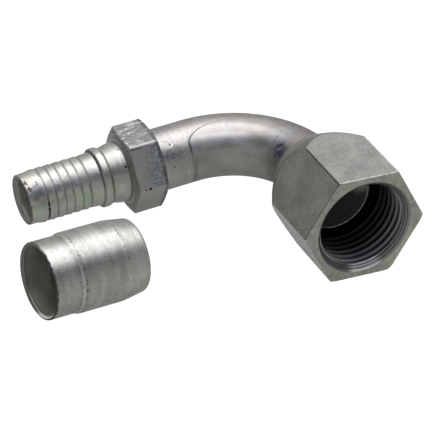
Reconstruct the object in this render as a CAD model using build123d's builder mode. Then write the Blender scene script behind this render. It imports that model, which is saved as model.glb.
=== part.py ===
from build123d import *
import os
from math import asin, atan2, cos, degrees, hypot, radians, sin, tan

# Crimp hose fitting, all lengths in millimetres.
#
# Three pieces: the insert (a serrated hose tail, a hexagon, a tube bent through a right angle and a
# head with a cone seat, all one bored piece of steel), the hexagon nut that swivels on that head, and
# the loose ferrule that is later crimped round hose and tail.
#
# The fitting lies on the floor, z = 0, as it comes to rest: the nut on one of its flats, the tail
# swung down until the edge of its hexagon touches the floor too. The origin is the middle of the
# nut's lower flat. The nut opens towards -Y and the tail points to -X.

# Diameters of nut, head, tube and bore: each follows from the nut's flats by a wall, step or clearance
nut_across_flats = 22.0
nut_wall = 1.475                # at the flats, outside the thread
thread_depth = 0.825
head_clearance = 0.7            # of the head in the thread, which it passes through
head_step = 1.75                # of the head over the tube
tube_wall = 2.25
thread_major_diameter = nut_across_flats - 2 * nut_wall
thread_minor_diameter = thread_major_diameter - 2 * thread_depth
head_diameter = thread_minor_diameter - 2 * head_clearance
tube_diameter = head_diameter - 2 * head_step
bore_diameter = tube_diameter - 2 * tube_wall

# Tube
bend_radius = 18.2              # of the tube's centreline
shank_straight = 8.1            # straight tube between the bend and the tail's hexagon
neck_straight = 1.0             # straight tube between the bend and the head's back cone

# Tail: serrations, each one rising slowly from its root and dropping back at once
tail_wall = 1.17                # at the root of the serrations
root_diameter = bore_diameter + 2 * tail_wall
barb_height = 0.17
barb_pitch = 1.76
barb_count = 5
barb_drop = 0.34
last_land_rise = 1.65
last_land_length = 0.65

# Tail: hexagon and collar
hex_step = 1.45                 # of the hexagon's flats over the tube
hex_across_flats = tube_diameter + 2 * hex_step
hex_length = 6.86
hex_corner_angle = 15.0         # turned corners, from the plane of the face
collar_height = 0.83            # over the root of the serrations
collar_diameter = root_diameter + 2 * collar_height
collar_length = 1.44

# Tail: neck that the ferrule's lip closes on, and the bead in front of it
neck_height = 0.38              # over the root of the serrations
neck_diameter = root_diameter + 2 * neck_height
neck_flare_length = 1.8
neck_land_length = 0.1
bead_height = 0.81              # over the root of the serrations
bead_diameter = root_diameter + 2 * bead_height
bead_length = 1.15
bead_back_ramp = 0.65
bead_front_ramp = 0.75

# Tail: plain tip
tip_step = 0.12              # under the root of the serrations
tip_diameter = root_diameter - 2 * tip_step
tip_length = 1.5
tip_ramp = 1.55
tip_land_height = 0.16          # over the root of the serrations
tip_land_length = 0.3
tip_drop = 0.4
mouth_edge = 0.15
mouth_countersink = 0.8         # of the bore, at 45 degrees

# Head that the nut pulls on
head_length = 5.5
head_front_chamfer = 0.95
shoulder_angle = 26.5           # back cone of the head and front cone inside the nut, from the axis
seat_land = 1.1                 # between the head's side and the rim of its cone seat
seat_rim_diameter = head_diameter - 2 * seat_land
seat_half_angle = 37.0

# Nut
nut_length = 22.3
nut_prism_length = 13.95        # from the front face to where the skirt first cuts the corners
nut_front_break = 0.5           # how far the corners are cut back at the front face
nut_front_angle = 30.0          # of that cut, from the plane of the face
nut_skirt_angle = 25.4          # front cone of the closed-in skirt, from the axis
nut_skirt_front_length = 4.05
nut_rear_wall = 1.6
nut_rear_edge = 0.2
nut_neck_length = 1.7
chamber_length = 5.4
thread_relief_height = 0.075    # over the thread's outer diameter
thread_relief_length = 1.2
countersink_height = 0.325      # over the thread's outer diameter
swivel_clearance = 0.25         # round the head
neck_clearance = 0.35           # round the tube

# Ferrule: it clears the tail's bead all the way, and its lip fits the bead closely
ferrule_length = 20.0
ferrule_hose_gap = 0.57         # between the bead and the wall that grips the hose
ferrule_wall = 1.22
ferrule_bore_diameter = bead_diameter + 2 * ferrule_hose_gap
ferrule_diameter = ferrule_bore_diameter + 2 * ferrule_wall
ferrule_step = 0.32             # between mouth and body
ferrule_mouth_diameter = ferrule_diameter - 2 * ferrule_step
ferrule_mouth_length = 5.3
ferrule_step_ramp = 0.85
ferrule_taper_length = 4.7
ferrule_taper_angle = 8.5
ferrule_end_chamfer = 0.35
ferrule_entry_height = 0.2      # over the wall that grips the hose
ferrule_entry_diameter = ferrule_bore_diameter + 2 * ferrule_entry_height
ferrule_entry_depth = 5.5
ferrule_lip_length = 1.6
ferrule_lip_clearance = 0.12    # of the lip's hole round the tail's bead
ferrule_mouth_edge = 0.15       # outer chamfer of the mouth
ferrule_mouth_lead = 0.35       # inner chamfer of the mouth
ring_count = 4
ring_pitch = 2.8
ring_width = 1.2
ring_depth = 0.25
first_ring_depth = 7.4

# Where the ferrule lies: its mouth's middle from the corner of the two axes, and its turn in plan
ferrule_mouth_x = -62.59
ferrule_mouth_forward = 30.3
ferrule_turn = 5.6

# Reaches along the head, from the corner where the tail's and the head's axes cross
head_cone_back = bend_radius + neck_straight
head_back = head_cone_back + (head_diameter - tube_diameter) / 2 / tan(radians(shoulder_angle))
seat_reach = head_back + head_length

# Reaches along the nut, from the same corner
chamber_diameter = head_diameter + 2 * swivel_clearance
nut_neck_diameter = tube_diameter + 2 * neck_clearance
nut_rear_diameter = nut_neck_diameter + 2 * nut_rear_wall
chamber_back = head_back - swivel_clearance * tan(radians(shoulder_angle / 2))
nut_shoulder_length = (chamber_diameter - nut_neck_diameter) / 2 / tan(radians(shoulder_angle))
nut_rear = chamber_back - nut_shoulder_length - nut_neck_length
nut_front = nut_rear + nut_length
relief_back = chamber_back + chamber_length
thread_back = relief_back + thread_relief_length
countersink_diameter = thread_major_diameter + 2 * countersink_height
countersink_depth = (countersink_diameter - thread_minor_diameter) / 2
thread_front = nut_front - countersink_depth

# Reaches along the tail, from the same corner
hex_back = bend_radius + shank_straight
hex_front = hex_back + hex_length
collar_front = hex_front + collar_length
bead_back = collar_front + neck_flare_length + neck_land_length
bead_front = bead_back + bead_back_ramp + bead_length
barbs_back = bead_front + bead_front_ramp + last_land_length + last_land_rise
barbs_front = barbs_back + barb_count * barb_pitch
tip_back = barbs_front + tip_drop + tip_land_length
tail_end = tip_back + tip_ramp + tip_length

# The tail's dip: the front edge of the hexagon's lower flat comes down to the floor
flat_radius = hex_across_flats / 2
flat_front = hex_front - (flat_radius - collar_diameter / 2) * tan(radians(hex_corner_angle))
contact_reach = hypot(flat_front, flat_radius)
tail_dip = asin(nut_across_flats / 2 / contact_reach) - atan2(flat_radius, flat_front)

# Planes: in each, X runs along the tail and Y along the head, so a turned form is drawn as
# (reach, radius) for the tail and as (radius, reach) for the head and the nut
corner = Vector(0, nut_front - nut_prism_length / 2, nut_across_flats / 2)
tail_direction = Vector(-cos(tail_dip), 0, -sin(tail_dip))
nut_direction = Vector(0, -1, 0)
insert_plane = Plane(origin=corner, x_dir=tail_direction, z_dir=tail_direction.cross(nut_direction))
nut_plane = Plane(origin=corner, x_dir=(-1, 0, 0), z_dir=(0, 0, 1))
tail_axis = Axis(corner, tail_direction)
nut_axis = Axis(corner, nut_direction)

ferrule_mouth = Vector(ferrule_mouth_x, corner.Y - ferrule_mouth_forward, ferrule_diameter / 2)
ferrule_direction = Vector(cos(radians(ferrule_turn)), sin(radians(ferrule_turn)), 0)
ferrule_plane = Plane(origin=ferrule_mouth, x_dir=ferrule_direction, z_dir=(0, 0, 1))
ferrule_axis = Axis(ferrule_mouth, ferrule_direction)

# A turning profile that trims a hexagon stands this far outside its corners
turning_margin = 0.6


def corner_radius(across_flats):
    """Distance from a hexagon's middle to its corners."""
    return across_flats / 2 / cos(radians(30))


def tail_outline():
    """Turned outline of the hose tail from the hexagon to the tip, as (reach, radius)."""
    root = root_diameter / 2
    peak = root + barb_height
    outline = [
        (hex_front - hex_length / 2, 0),
        (hex_front - hex_length / 2, collar_diameter / 2),
        (collar_front, collar_diameter / 2),
        (collar_front + neck_flare_length, neck_diameter / 2),
        (bead_back, neck_diameter / 2),
        (bead_back + bead_back_ramp, bead_diameter / 2),
        (bead_front, bead_diameter / 2),
        (bead_front + bead_front_ramp, peak),
        (bead_front + bead_front_ramp + last_land_length, peak),
        (barbs_back, root),
    ]
    for i in range(barb_count):
        barb_root = barbs_back + i * barb_pitch
        outline += [
            (barb_root + barb_drop, peak),
            (barb_root + barb_pitch, root),
        ]
    outline += [
        (barbs_front + tip_drop, root + tip_land_height),
        (tip_back, root + tip_land_height),
        (tip_back + tip_ramp, tip_diameter / 2),
        (tail_end - mouth_edge, tip_diameter / 2),
        (tail_end, tip_diameter / 2 - mouth_edge),
        (tail_end, 0),
    ]
    return outline


# Insert: hexagon first, its corners turned off, then tail, tube and head, and the bore last
with BuildPart() as insert:
    hex_plane = Plane(origin=corner + tail_direction * hex_back, x_dir=nut_direction,
                      z_dir=tail_direction)
    with BuildSketch(hex_plane):
        RegularPolygon(hex_across_flats / 2, 6, major_radius=False)
    extrude(amount=hex_length)
    outer = corner_radius(hex_across_flats) + turning_margin
    front_fall = (outer - collar_diameter / 2) * tan(radians(hex_corner_angle))
    back_fall = (outer - flat_radius) * tan(radians(hex_corner_angle))
    with BuildSketch(insert_plane):
        with BuildLine():
            Polyline((hex_back, 0), (hex_back, flat_radius), (hex_back + back_fall, outer),
                     (hex_front - front_fall, outer), (hex_front, collar_diameter / 2),
                     (hex_front, 0), close=True)
        make_face()
    revolve(axis=tail_axis, mode=Mode.INTERSECT)

    with BuildSketch(insert_plane):
        with BuildLine():
            Polyline(*tail_outline(), close=True)
        make_face()
    revolve(axis=tail_axis)

    with BuildLine(insert_plane) as tube_line:
        FilletPolyline((hex_back + hex_length / 2, 0), (0, 0), (0, head_back), radius=bend_radius)
    with BuildSketch(Plane(origin=tube_line.line @ 0, z_dir=tube_line.line % 0)):
        Circle(tube_diameter / 2)
    sweep(path=tube_line.line)

    with BuildSketch(insert_plane):
        with BuildLine():
            Polyline((0, head_cone_back), (tube_diameter / 2, head_cone_back),
                     (head_diameter / 2, head_back),
                     (head_diameter / 2, seat_reach - head_front_chamfer),
                     (head_diameter / 2 - head_front_chamfer, seat_reach),
                     (0, seat_reach), close=True)
        make_face()
    revolve(axis=nut_axis)

    with BuildLine(insert_plane) as bore_line:
        FilletPolyline((tail_end, 0), (0, 0), (0, seat_reach), radius=bend_radius)
    with BuildSketch(Plane(origin=bore_line.line @ 0, z_dir=bore_line.line % 0)):
        Circle(bore_diameter / 2)
    sweep(path=bore_line.line, mode=Mode.SUBTRACT)

    seat_depth = (seat_rim_diameter - bore_diameter) / 2 / tan(radians(seat_half_angle))
    with BuildSketch(insert_plane):
        with BuildLine():
            Polyline((0, seat_reach - seat_depth), (bore_diameter / 2, seat_reach - seat_depth),
                     (seat_rim_diameter / 2, seat_reach), (0, seat_reach), close=True)
        make_face()
    revolve(axis=nut_axis, mode=Mode.SUBTRACT)

    tail_face = insert.faces().filter_by(GeomType.PLANE).sort_by(tail_axis)[-1]
    chamfer(tail_face.inner_wires()[0].edges(), mouth_countersink)

# Nut: hexagon turned off at the front corners and down to the skirt at the rear, then bored
with BuildPart() as swivel_nut:
    rear_plane = Plane(origin=corner + nut_direction * nut_rear, x_dir=(1, 0, 0),
                       z_dir=nut_direction)
    with BuildSketch(rear_plane):
        RegularPolygon(nut_across_flats / 2, 6, major_radius=False)
    extrude(amount=nut_length)
    corners = corner_radius(nut_across_flats)
    outer = corners + turning_margin
    face_radius = corners - nut_front_break
    front_fall = (outer - face_radius) * tan(radians(nut_front_angle))
    skirt_slope = tan(radians(nut_skirt_angle))
    skirt_front = nut_front - nut_prism_length
    skirt_middle = skirt_front - nut_skirt_front_length
    rear_radius = nut_rear_diameter / 2
    with BuildSketch(nut_plane):
        with BuildLine():
            Polyline((0, nut_rear), (rear_radius - nut_rear_edge, nut_rear),
                     (rear_radius, nut_rear + nut_rear_edge),
                     (corners - nut_skirt_front_length * skirt_slope, skirt_middle),
                     (outer, skirt_front + turning_margin / skirt_slope),
                     (outer, nut_front - front_fall), (face_radius, nut_front),
                     (0, nut_front), close=True)
        make_face()
    revolve(axis=nut_axis, mode=Mode.INTERSECT)

    with BuildSketch(nut_plane):
        with BuildLine():
            relief_radius = thread_major_diameter / 2 + thread_relief_height
            Polyline((0, nut_rear), (nut_neck_diameter / 2, nut_rear),
                     (nut_neck_diameter / 2, nut_rear + nut_neck_length),
                     (chamber_diameter / 2, chamber_back), (chamber_diameter / 2, relief_back),
                     (relief_radius, relief_back), (relief_radius, thread_back),
                     (thread_minor_diameter / 2, thread_back),
                     (thread_minor_diameter / 2, thread_front),
                     (countersink_diameter / 2, nut_front), (0, nut_front), close=True)
        make_face()
    revolve(axis=nut_axis, mode=Mode.SUBTRACT)


def ferrule_inside():
    """Inner outline of the ferrule from the mouth to the hole in its lip, as (depth, radius)."""
    wall = ferrule_bore_diameter / 2
    hole = bead_diameter / 2 + ferrule_lip_clearance
    lip_start = ferrule_length - ferrule_lip_length
    entry = ferrule_entry_diameter / 2
    outline = [(0, entry + ferrule_mouth_lead), (ferrule_mouth_lead, entry),
               (ferrule_entry_depth, entry), (ferrule_entry_depth, wall)]
    for i in range(ring_count):
        ring = first_ring_depth + i * ring_pitch
        outline += [(ring, wall), (ring, wall + ring_depth), (ring + ring_width, wall)]
    return outline + [(lip_start, wall), (lip_start, hole), (ferrule_length, hole)]


# Ferrule: one turned shell
with BuildPart() as crimp_ferrule:
    radius = ferrule_diameter / 2
    mouth_radius = ferrule_mouth_diameter / 2
    taper_end = ferrule_length - ferrule_end_chamfer
    taper_start = ferrule_length - ferrule_taper_length
    end_radius = radius - (taper_end - taper_start) * tan(radians(ferrule_taper_angle))
    with BuildSketch(ferrule_plane):
        with BuildLine():
            Polyline((ferrule_length, bead_diameter / 2 + ferrule_lip_clearance),
                     (ferrule_length, end_radius - ferrule_end_chamfer),
                     (taper_end, end_radius), (taper_start, radius),
                     (ferrule_mouth_length + ferrule_step_ramp, radius),
                     (ferrule_mouth_length, mouth_radius), (ferrule_mouth_edge, mouth_radius),
                     (0, mouth_radius - ferrule_mouth_edge),
                     (0, ferrule_entry_diameter / 2 + ferrule_mouth_lead))
            Polyline(*ferrule_inside())
        make_face()
    revolve(axis=ferrule_axis)
insert.part.label = "insert"
swivel_nut.part.label = "swivel_nut"
crimp_ferrule.part.label = "crimp_ferrule"

os.makedirs("parts", exist_ok=True)
export_step(insert.part, "parts/insert.step")
export_step(swivel_nut.part, "parts/swivel_nut.step")
export_step(crimp_ferrule.part, "parts/crimp_ferrule.step")

print(f"tail dips {degrees(tail_dip):.3f} degrees, axes cross at {tuple(corner)}")
print(f"nut from {nut_rear:.2f} to {nut_front:.2f}, seat at {seat_reach:.2f}, tail end at {tail_end:.2f}")
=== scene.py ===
# %% [markdown]
# # A crimp hose fitting
#
# This lesson dresses three small steel pieces: a bent insert with a serrated hose tail, the hexagon
# nut that swivels on its head, and the loose ferrule that lies beside it. All three are zinc plated.
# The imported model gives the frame: places, sizes and the bodies that move. Each piece is built again
# here with softer edges and a real thread, in the same place, and stands for its solid.

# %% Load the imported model
from math import asin, atan2, cos, hypot, pi, radians, sin, tan
import bpy
import numpy as np
from mathutils import Matrix, Vector


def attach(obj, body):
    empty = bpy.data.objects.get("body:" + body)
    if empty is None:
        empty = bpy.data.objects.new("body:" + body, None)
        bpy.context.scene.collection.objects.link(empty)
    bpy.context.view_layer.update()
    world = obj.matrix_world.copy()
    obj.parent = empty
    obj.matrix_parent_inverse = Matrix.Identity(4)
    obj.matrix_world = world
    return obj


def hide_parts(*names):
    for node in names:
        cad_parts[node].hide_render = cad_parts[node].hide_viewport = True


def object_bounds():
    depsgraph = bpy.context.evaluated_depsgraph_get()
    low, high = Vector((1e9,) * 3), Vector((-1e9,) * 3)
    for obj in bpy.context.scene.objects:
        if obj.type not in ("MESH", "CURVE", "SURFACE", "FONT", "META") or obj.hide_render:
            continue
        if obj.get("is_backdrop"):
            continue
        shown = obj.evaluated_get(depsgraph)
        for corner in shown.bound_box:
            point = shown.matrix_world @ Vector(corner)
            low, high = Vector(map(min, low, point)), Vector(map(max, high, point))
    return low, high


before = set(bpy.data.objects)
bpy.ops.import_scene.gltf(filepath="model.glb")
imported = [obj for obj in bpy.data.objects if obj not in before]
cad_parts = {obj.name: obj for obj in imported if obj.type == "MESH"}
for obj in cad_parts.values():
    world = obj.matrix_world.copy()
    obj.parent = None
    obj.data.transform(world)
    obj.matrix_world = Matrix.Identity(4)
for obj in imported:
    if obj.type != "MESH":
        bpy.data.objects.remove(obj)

cad_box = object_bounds()

# %% [markdown]
# ## Sizes
#
# The sizes repeat those of the solids, in millimetres. The fitting lies on the nut's lower flat and
# on the edge of its small hexagon, so the tail dips a little: the dip follows from both hexagons.

# %% Sizes of the insert
mm = 0.001
tube_radius = 6.25
bore_radius = 4.0
bend_radius = 18.2
hex_back = 26.3
hex_front = 33.16
hex_across_flats = 15.4
hex_corner_angle = radians(15)
collar_radius = 6.0
collar_front = 34.6
root_radius = 5.17
barb_height = 0.17
barbs_back = 41.35
barb_pitch = 1.76
barb_count = 5
tail_end = 53.9
tip_radius = 5.05
mouth_cone = 0.8
head_back = 22.71
head_radius = 8.0
seat_reach = 28.21
seat_rim_radius = 6.9
seat_back = 24.36

# %% Reaches and radii along the tail and the head
edge_break = 0.15
tip_break = 52.4
last_barb_front = 50.85
last_barb_peak = 50.55
last_barb_foot = 50.15
barb_ramp = 0.34
land_front = 39.7
land_back = 38.75
bead_front = 38.35
bead_back = 37.15
bead_radius = 5.98
neck_front = 36.5
neck_back = 36.4
neck_radius = 5.55
shoulder_start = 19.2
head_front = 27.26
head_nose = 0.95
collar_back = 30.0
tube_front = 29.6

# %% Sizes of the nut
nut_across_flats = 22.0
nut_rear = 17.64
nut_front = 39.94
skirt_front = 25.99
chamber_back = 22.65
relief_back = 28.05
thread_back = 29.25
thread_minor_radius = 8.7
thread_major_radius = 9.525
thread_pitch = 1.5875
countersink_radius = 9.85
hole_radius = 6.33
neck_end = 19.0
rear_radius = 8.0
chamber_radius = 8.25
relief_radius = 9.6
skirt_slope = tan(radians(25.4))
skirt_cone = 4.05
corner_cut = radians(30)

# %% Sizes of the ferrule
ferrule_length = 20.0
ferrule_radius = 7.77
mouth_radius = 7.45
step_start = 5.3
step_end = 6.15
taper_start = 15.3
taper_end = 19.65
entry_depth = 5.5
entry_radius = 6.75
grip_radius = 6.55
grip_groove_radius = 6.8
grip_rings = 4
first_grip = 7.4
grip_pitch = 2.8
grip_width = 1.2
lip_back = 18.4
lip_radius = 6.1
ferrule_mouth = Vector((-62.59, 2.6667, 7.77))
ferrule_turn = radians(5.6)

# %% Directions of the axes
corner = Vector((0, (nut_front + skirt_front) / 2, nut_across_flats / 2))
flat_front = hex_front - (hex_across_flats / 2 - collar_radius) * tan(hex_corner_angle)
contact_reach = hypot(flat_front, hex_across_flats / 2)
tail_dip = asin(nut_across_flats / 2 / contact_reach) - atan2(hex_across_flats / 2, flat_front)
tail_direction = Vector((-cos(tail_dip), 0, -sin(tail_dip)))
nut_direction = Vector((0, -1, 0))
ferrule_direction = Vector((cos(ferrule_turn), sin(ferrule_turn), 0))
print(f"tail dips {tail_dip / radians(1):.3f} degrees, axes cross at {tuple(corner)} mm")

# %% [markdown]
# ## Camera
#
# A product photograph is taken from far away with a long lens. The camera turns round a point
# between the pieces: its place is given by two angles, a roll, a distance and a small shift.

# %% Place the camera
picture_side = 435
focal_pixels = 2754.92
sensor = 36.0
camera_turn = radians(-27.40)
camera_rise = radians(32.15)
camera_roll = radians(3.57)
camera_distance = 533.0
camera_target = Vector((-18.07, 16.117, 8.0))
picture_shift = (-8.0, -19.52)

back = Vector((cos(camera_rise) * sin(camera_turn), -cos(camera_rise) * cos(camera_turn), sin(camera_rise)))
level = Vector((cos(camera_turn), sin(camera_turn), 0))
upright = back.cross(level)
right = level * cos(camera_roll) + upright * sin(camera_roll)
up = upright * cos(camera_roll) - level * sin(camera_roll)
turn = Matrix((right, up, back)).transposed().to_4x4()
lens = bpy.data.cameras.new("camera")
lens.sensor_width = sensor
lens.lens = focal_pixels * sensor / picture_side
lens.shift_x = picture_shift[0] / picture_side
lens.shift_y = picture_shift[1] / picture_side
lens.clip_end = 20
camera = bpy.data.objects.new("camera", lens)
camera.matrix_world = Matrix.Translation((camera_target + back * camera_distance) * mm) @ turn
bpy.context.scene.collection.objects.link(camera)
bpy.context.scene.camera = camera
bpy.context.scene.view_settings.view_transform = "Standard"
print(f"lens {lens.lens:.1f} mm")

# %% [markdown]
# ## Shader sums as plain expressions
#
# Finishes are sums of masks. A small class wraps a socket, so that an expression such as
# `1 - dirt * 0.5` adds its own Math nodes. Any other node comes from the one method `node`, and
# `painted` and `shaded` lay one more layer over a colour.

# %% The class that wraps a socket
class Wire:
    """A socket of a shader's nodes that can stand in a sum."""

    def __init__(self, tree, socket=None):
        self.tree = tree
        self.socket = socket

    def node(self, kind, settings=None, inputs=None, out=0):
        """Adds a node: its settings first, then values or links for its sockets."""
        made = self.tree.nodes.new(kind)
        for name, value in (settings or {}).items():
            setattr(made, name, value)
        for name, value in (inputs or {}).items():
            if isinstance(value, Wire):
                self.tree.links.new(value.socket, made.inputs[name])
            else:
                made.inputs[name].default_value = value
        return Wire(self.tree, made.outputs[out]) if made.outputs else None

    def output(self, name):
        """Another output of the same node."""
        return Wire(self.tree, self.socket.node.outputs[name])

    def math(self, operation, first, second=0.0):
        """One Math node."""
        return self.node("ShaderNodeMath", {"operation": operation}, {0: first, 1: second})

    def __add__(self, other):
        return self.math("ADD", self, other)

    def __radd__(self, other):
        return self.math("ADD", other, self)

    def __sub__(self, other):
        return self.math("SUBTRACT", self, other)

    def __rsub__(self, other):
        return self.math("SUBTRACT", other, self)

    def __mul__(self, other):
        return self.math("MULTIPLY", self, other)

    def __rmul__(self, other):
        return self.math("MULTIPLY", other, self)

    def __truediv__(self, other):
        return self.math("DIVIDE", self, other)

    def rise(self, low, high):
        """0 below low, 1 above high and a smooth rise between; low may be the larger one."""
        settings = {"interpolation_type": "SMOOTHSTEP"}
        return self.node("ShaderNodeMapRange", settings, {"Value": self, "From Min": low, "From Max": high})

    def near(self, middle, half, soft):
        """1 within half of middle, falling to 0 over soft."""
        return self.math("ABSOLUTE", self - middle).rise(half + soft, half)

    def most(self, other):
        """The larger of two values: masks that overlap don't add up."""
        return self.math("MAXIMUM", self, other)

    def times(self, other):
        """A vector or colour multiplied part by part."""
        return self.node("ShaderNodeVectorMath", {"operation": "MULTIPLY"}, {0: self, 1: other})

    def noise(self, scale, detail=2.0, roughness=0.5):
        """Cloudy noise from 0 to 1 on a vector."""
        return self.node("ShaderNodeTexNoise", None,
                         {"Vector": self, "Scale": scale, "Detail": detail, "Roughness": roughness})

    def specks(self, scale, size):
        """Round specks, one in each cell of the pattern, of a size in cells."""
        cell = self.node("ShaderNodeTexVoronoi", {"feature": "F1"}, {"Vector": self, "Scale": scale})
        return cell.rise(size, size * 0.4)

    def blot(self, middle, size, soft, ragged=0.0, scale=1.5):
        """1 within a size of a place, falling to 0 over soft, with a ragged edge."""
        gap = self.node("ShaderNodeVectorMath", {"operation": "DISTANCE"}, {0: self, 1: middle}, out=1)
        if ragged:
            gap = gap + (self.noise(scale, 3.0, 0.6) - 0.5) * ragged
        return gap.rise(size + soft, size)

    def blots(self, first, *others):
        """Several blots, each given by the values that blot takes, as one mask."""
        mask = self.blot(*first)
        for other in others:
            mask = mask.most(self.blot(*other))
        return mask

    def tint(self, first, second):
        """Two colours mixed by this value."""
        return self.node("ShaderNodeMix", {"data_type": "RGBA", "clamp_factor": True},
                         {0: self, 6: first, 7: second}, out=2)

    def painted(self, mask, paint):
        """This colour, with another one over it where a mask is 1."""
        return mask.tint(self, colour(*paint))

    def shaded(self, mask, factors):
        """This colour, multiplied part by part where a mask is 1."""
        return mask.tint(self, self.times(factors))


def colour(red, green, blue):
    """A colour as a socket takes it."""
    return (red, green, blue, 1.0)

# %% [markdown]
# ## Floor, backdrop and lamps
#
# The pieces lie on a white table. The camera and mirror-like surfaces see the floor as white, and
# the shadow stays on it. The room above is darker: zinc shows a bright band under the soft box, a
# blue-dark one beside it and the floor below. A studio could be modelled wall by wall, but a sky
# whose tone follows the direction is lighter and shows up only in reflections.

# %% Floor
bpy.ops.object.select_all(action="DESELECT")
bpy.ops.mesh.primitive_circle_add(vertices=96, radius=4.0, fill_type="NGON", location=(0, 0, 0))
floor = bpy.context.object
floor.name = "floor"
floor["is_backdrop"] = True
floor_finish = bpy.data.materials.new("white_table")
floor_finish.use_nodes = True
floor_tree = floor_finish.node_tree
floor_tree.nodes.clear()
table = Wire(floor_tree)
seen = table.node("ShaderNodeLightPath")
seen_by_camera = seen.output("Is Camera Ray")
seen_in_gloss = seen.output("Is Glossy Ray")
seen_through = seen.output("Is Transmission Ray")
table_paint = table.node("ShaderNodeBsdfDiffuse", None, {"Color": colour(0.46, 0.465, 0.44)})
glow = 1.45 - seen_in_gloss * 1.03
table_glow = table.node("ShaderNodeEmission", None, {"Color": colour(1, 1, 1), "Strength": glow})
glow_share = seen_by_camera * 0.72 + seen_in_gloss * 0.65 + seen_through * 0.6
table_look = table.node("ShaderNodeMixShader", None, {0: glow_share, 1: table_paint, 2: table_glow})
table.node("ShaderNodeOutputMaterial", None, {"Surface": table_look})
floor.data.materials.append(floor_finish)
print("floor", floor.name)

# %% The room
room = bpy.data.worlds.new("room")
bpy.context.scene.world = room
room.use_nodes = True
room.node_tree.nodes.clear()
sky = Wire(room.node_tree)
looking = sky.node("ShaderNodeTexCoord").output("Generated")
parts = sky.node("ShaderNodeSeparateXYZ", None, {"Vector": looking})
sky_height = parts.output("Z")
sky_side = parts.output("X")
sky_depth = parts.output("Y")
camera_ray = sky.node("ShaderNodeLightPath").output("Is Camera Ray")
behind = (sky_depth * cos(camera_turn) - sky_side * sin(camera_turn)).rise(-0.2, 0.5)
low_band = sky_height.rise(0.5, 0.3)
front_wall = low_band.tint(colour(0.10, 0.115, 0.15), colour(0.46, 0.46, 0.44))
back_wall = sky_height.rise(0.45, 0.85).tint(colour(0.46, 0.46, 0.45), colour(1.2, 1.2, 1.17))
walls = behind.tint(front_wall, back_wall)
sky_colour = camera_ray.tint(walls, colour(1, 1, 1))
sky_light = sky.node("ShaderNodeBackground", None, {"Color": sky_colour, "Strength": 1.0})
sky.node("ShaderNodeOutputWorld", None, {"Surface": sky_light})

# %% Soft box
def soft_box(name, place, width, depth, power):
    """A level area lamp that shines down; places and sizes in metres."""
    bpy.ops.object.select_all(action="DESELECT")
    bpy.ops.object.light_add(type="AREA", location=place)
    box = bpy.context.object
    box.name = name
    box.data.shape = "RECTANGLE"
    box.data.size = width
    box.data.size_y = depth
    box.data.energy = power
    box.visible_camera = False
    print(f"lamp {name}: {power} W")


soft_box("overhead_box", (0.16, 0.10, 0.8), 1.12, 0.84, 5.0)

# %% [markdown]
# ## How a turned piece is made
#
# A turned piece is an outline carried round an axis. Here it starts as a circle of vertices, and
# each next ring is extruded from the last one and scaled to its radius, as by hand. Sharp corners
# of the outline are cut off by a short curve first, so that every edge catches the light.

# %% Soften an outline
def softened(outline, cut):
    """The outline as (reach, radius) with each corner replaced by a short curve of length cut."""
    points = [Vector(point[:2]) for point in outline]
    cuts = [point[2] if len(point) > 2 else cut for point in outline]
    result = [points[0]]
    for before, point, after, length in zip(points, points[1:], points[2:], cuts[1:]):
        to_before = before - point
        to_after = after - point
        turned = to_before.angle(-to_after)
        if length == 0 or turned < radians(3):
            result.append(point)
            continue
        start = point + to_before.normalized() * min(length, to_before.length * 0.4)
        end = point + to_after.normalized() * min(length, to_after.length * 0.4)
        steps = 3 if turned > radians(30) else 2
        for step in range(steps + 1):
            share = step / steps
            result.append(start * (1 - share) ** 2 + point * 2 * share * (1 - share) + end * share ** 2)
    return result + [points[-1]]

# %% Rings
ring_sides = 112


def first_ring(name, reach, radius):
    """A circle of vertices round the Z axis, left in edit mode with its edges selected."""
    bpy.ops.object.select_all(action="DESELECT")
    bpy.ops.mesh.primitive_circle_add(vertices=ring_sides, radius=radius * mm, fill_type="NOTHING",
                                      location=(0, 0, reach * mm))
    piece = bpy.context.object
    piece.name = name
    piece.data.name = name
    bpy.ops.object.transform_apply(location=True, rotation=True, scale=True)
    bpy.ops.object.mode_set(mode="EDIT")
    bpy.ops.mesh.select_mode(type="EDGE")
    bpy.ops.mesh.select_all(action="SELECT")
    return piece


def more_rings(points, reach, radius, direction):
    """Extrudes the selected ring from a reach and a radius through more points along a direction."""
    for next_reach, next_radius in points:
        step = direction * (next_reach - reach) * mm
        scale = next_radius / radius
        bpy.ops.mesh.extrude_edges_move(TRANSFORM_OT_translate={"value": step})
        bpy.ops.transform.resize(value=(scale, scale, scale), center_override=direction * next_reach * mm)
        reach = next_reach
        radius = next_radius


def close_rings():
    """Joins the last ring to the first, which lies in the same place, and turns faces outwards."""
    bpy.ops.mesh.select_all(action="SELECT")
    bpy.ops.mesh.remove_doubles(threshold=0.002 * mm)
    bpy.ops.mesh.normals_make_consistent(inside=False)
    bpy.ops.object.mode_set(mode="OBJECT")


def turned_ring(name, outline, cut):
    """A closed ring-shaped piece turned round the Z axis; its outline ends where it starts."""
    points = softened(outline, cut)
    start = points[0]
    piece = first_ring(name, start.x, start.y)
    more_rings(points[1:], start.x, start.y, Vector((0, 0, 1)))
    close_rings()
    print(f"{name}: {len(points)} rings, {len(piece.data.vertices)} vertices")
    return piece

# %% Cut, join and place
def only(piece):
    """Selects one piece and makes it the active one."""
    bpy.ops.object.select_all(action="DESELECT")
    piece.select_set(True)
    bpy.context.view_layer.objects.active = piece


def combined(piece, tool, operation):
    """Applies a Boolean modifier with a tool piece and removes the tool."""
    change = piece.modifiers.new("combine", "BOOLEAN")
    change.object = tool
    change.operation = operation
    change.solver = "EXACT"
    only(piece)
    bpy.ops.object.modifier_apply(modifier=change.name)
    bpy.data.objects.remove(tool)
    print(f"{operation.lower()}: {len(piece.data.polygons)} faces")


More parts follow.
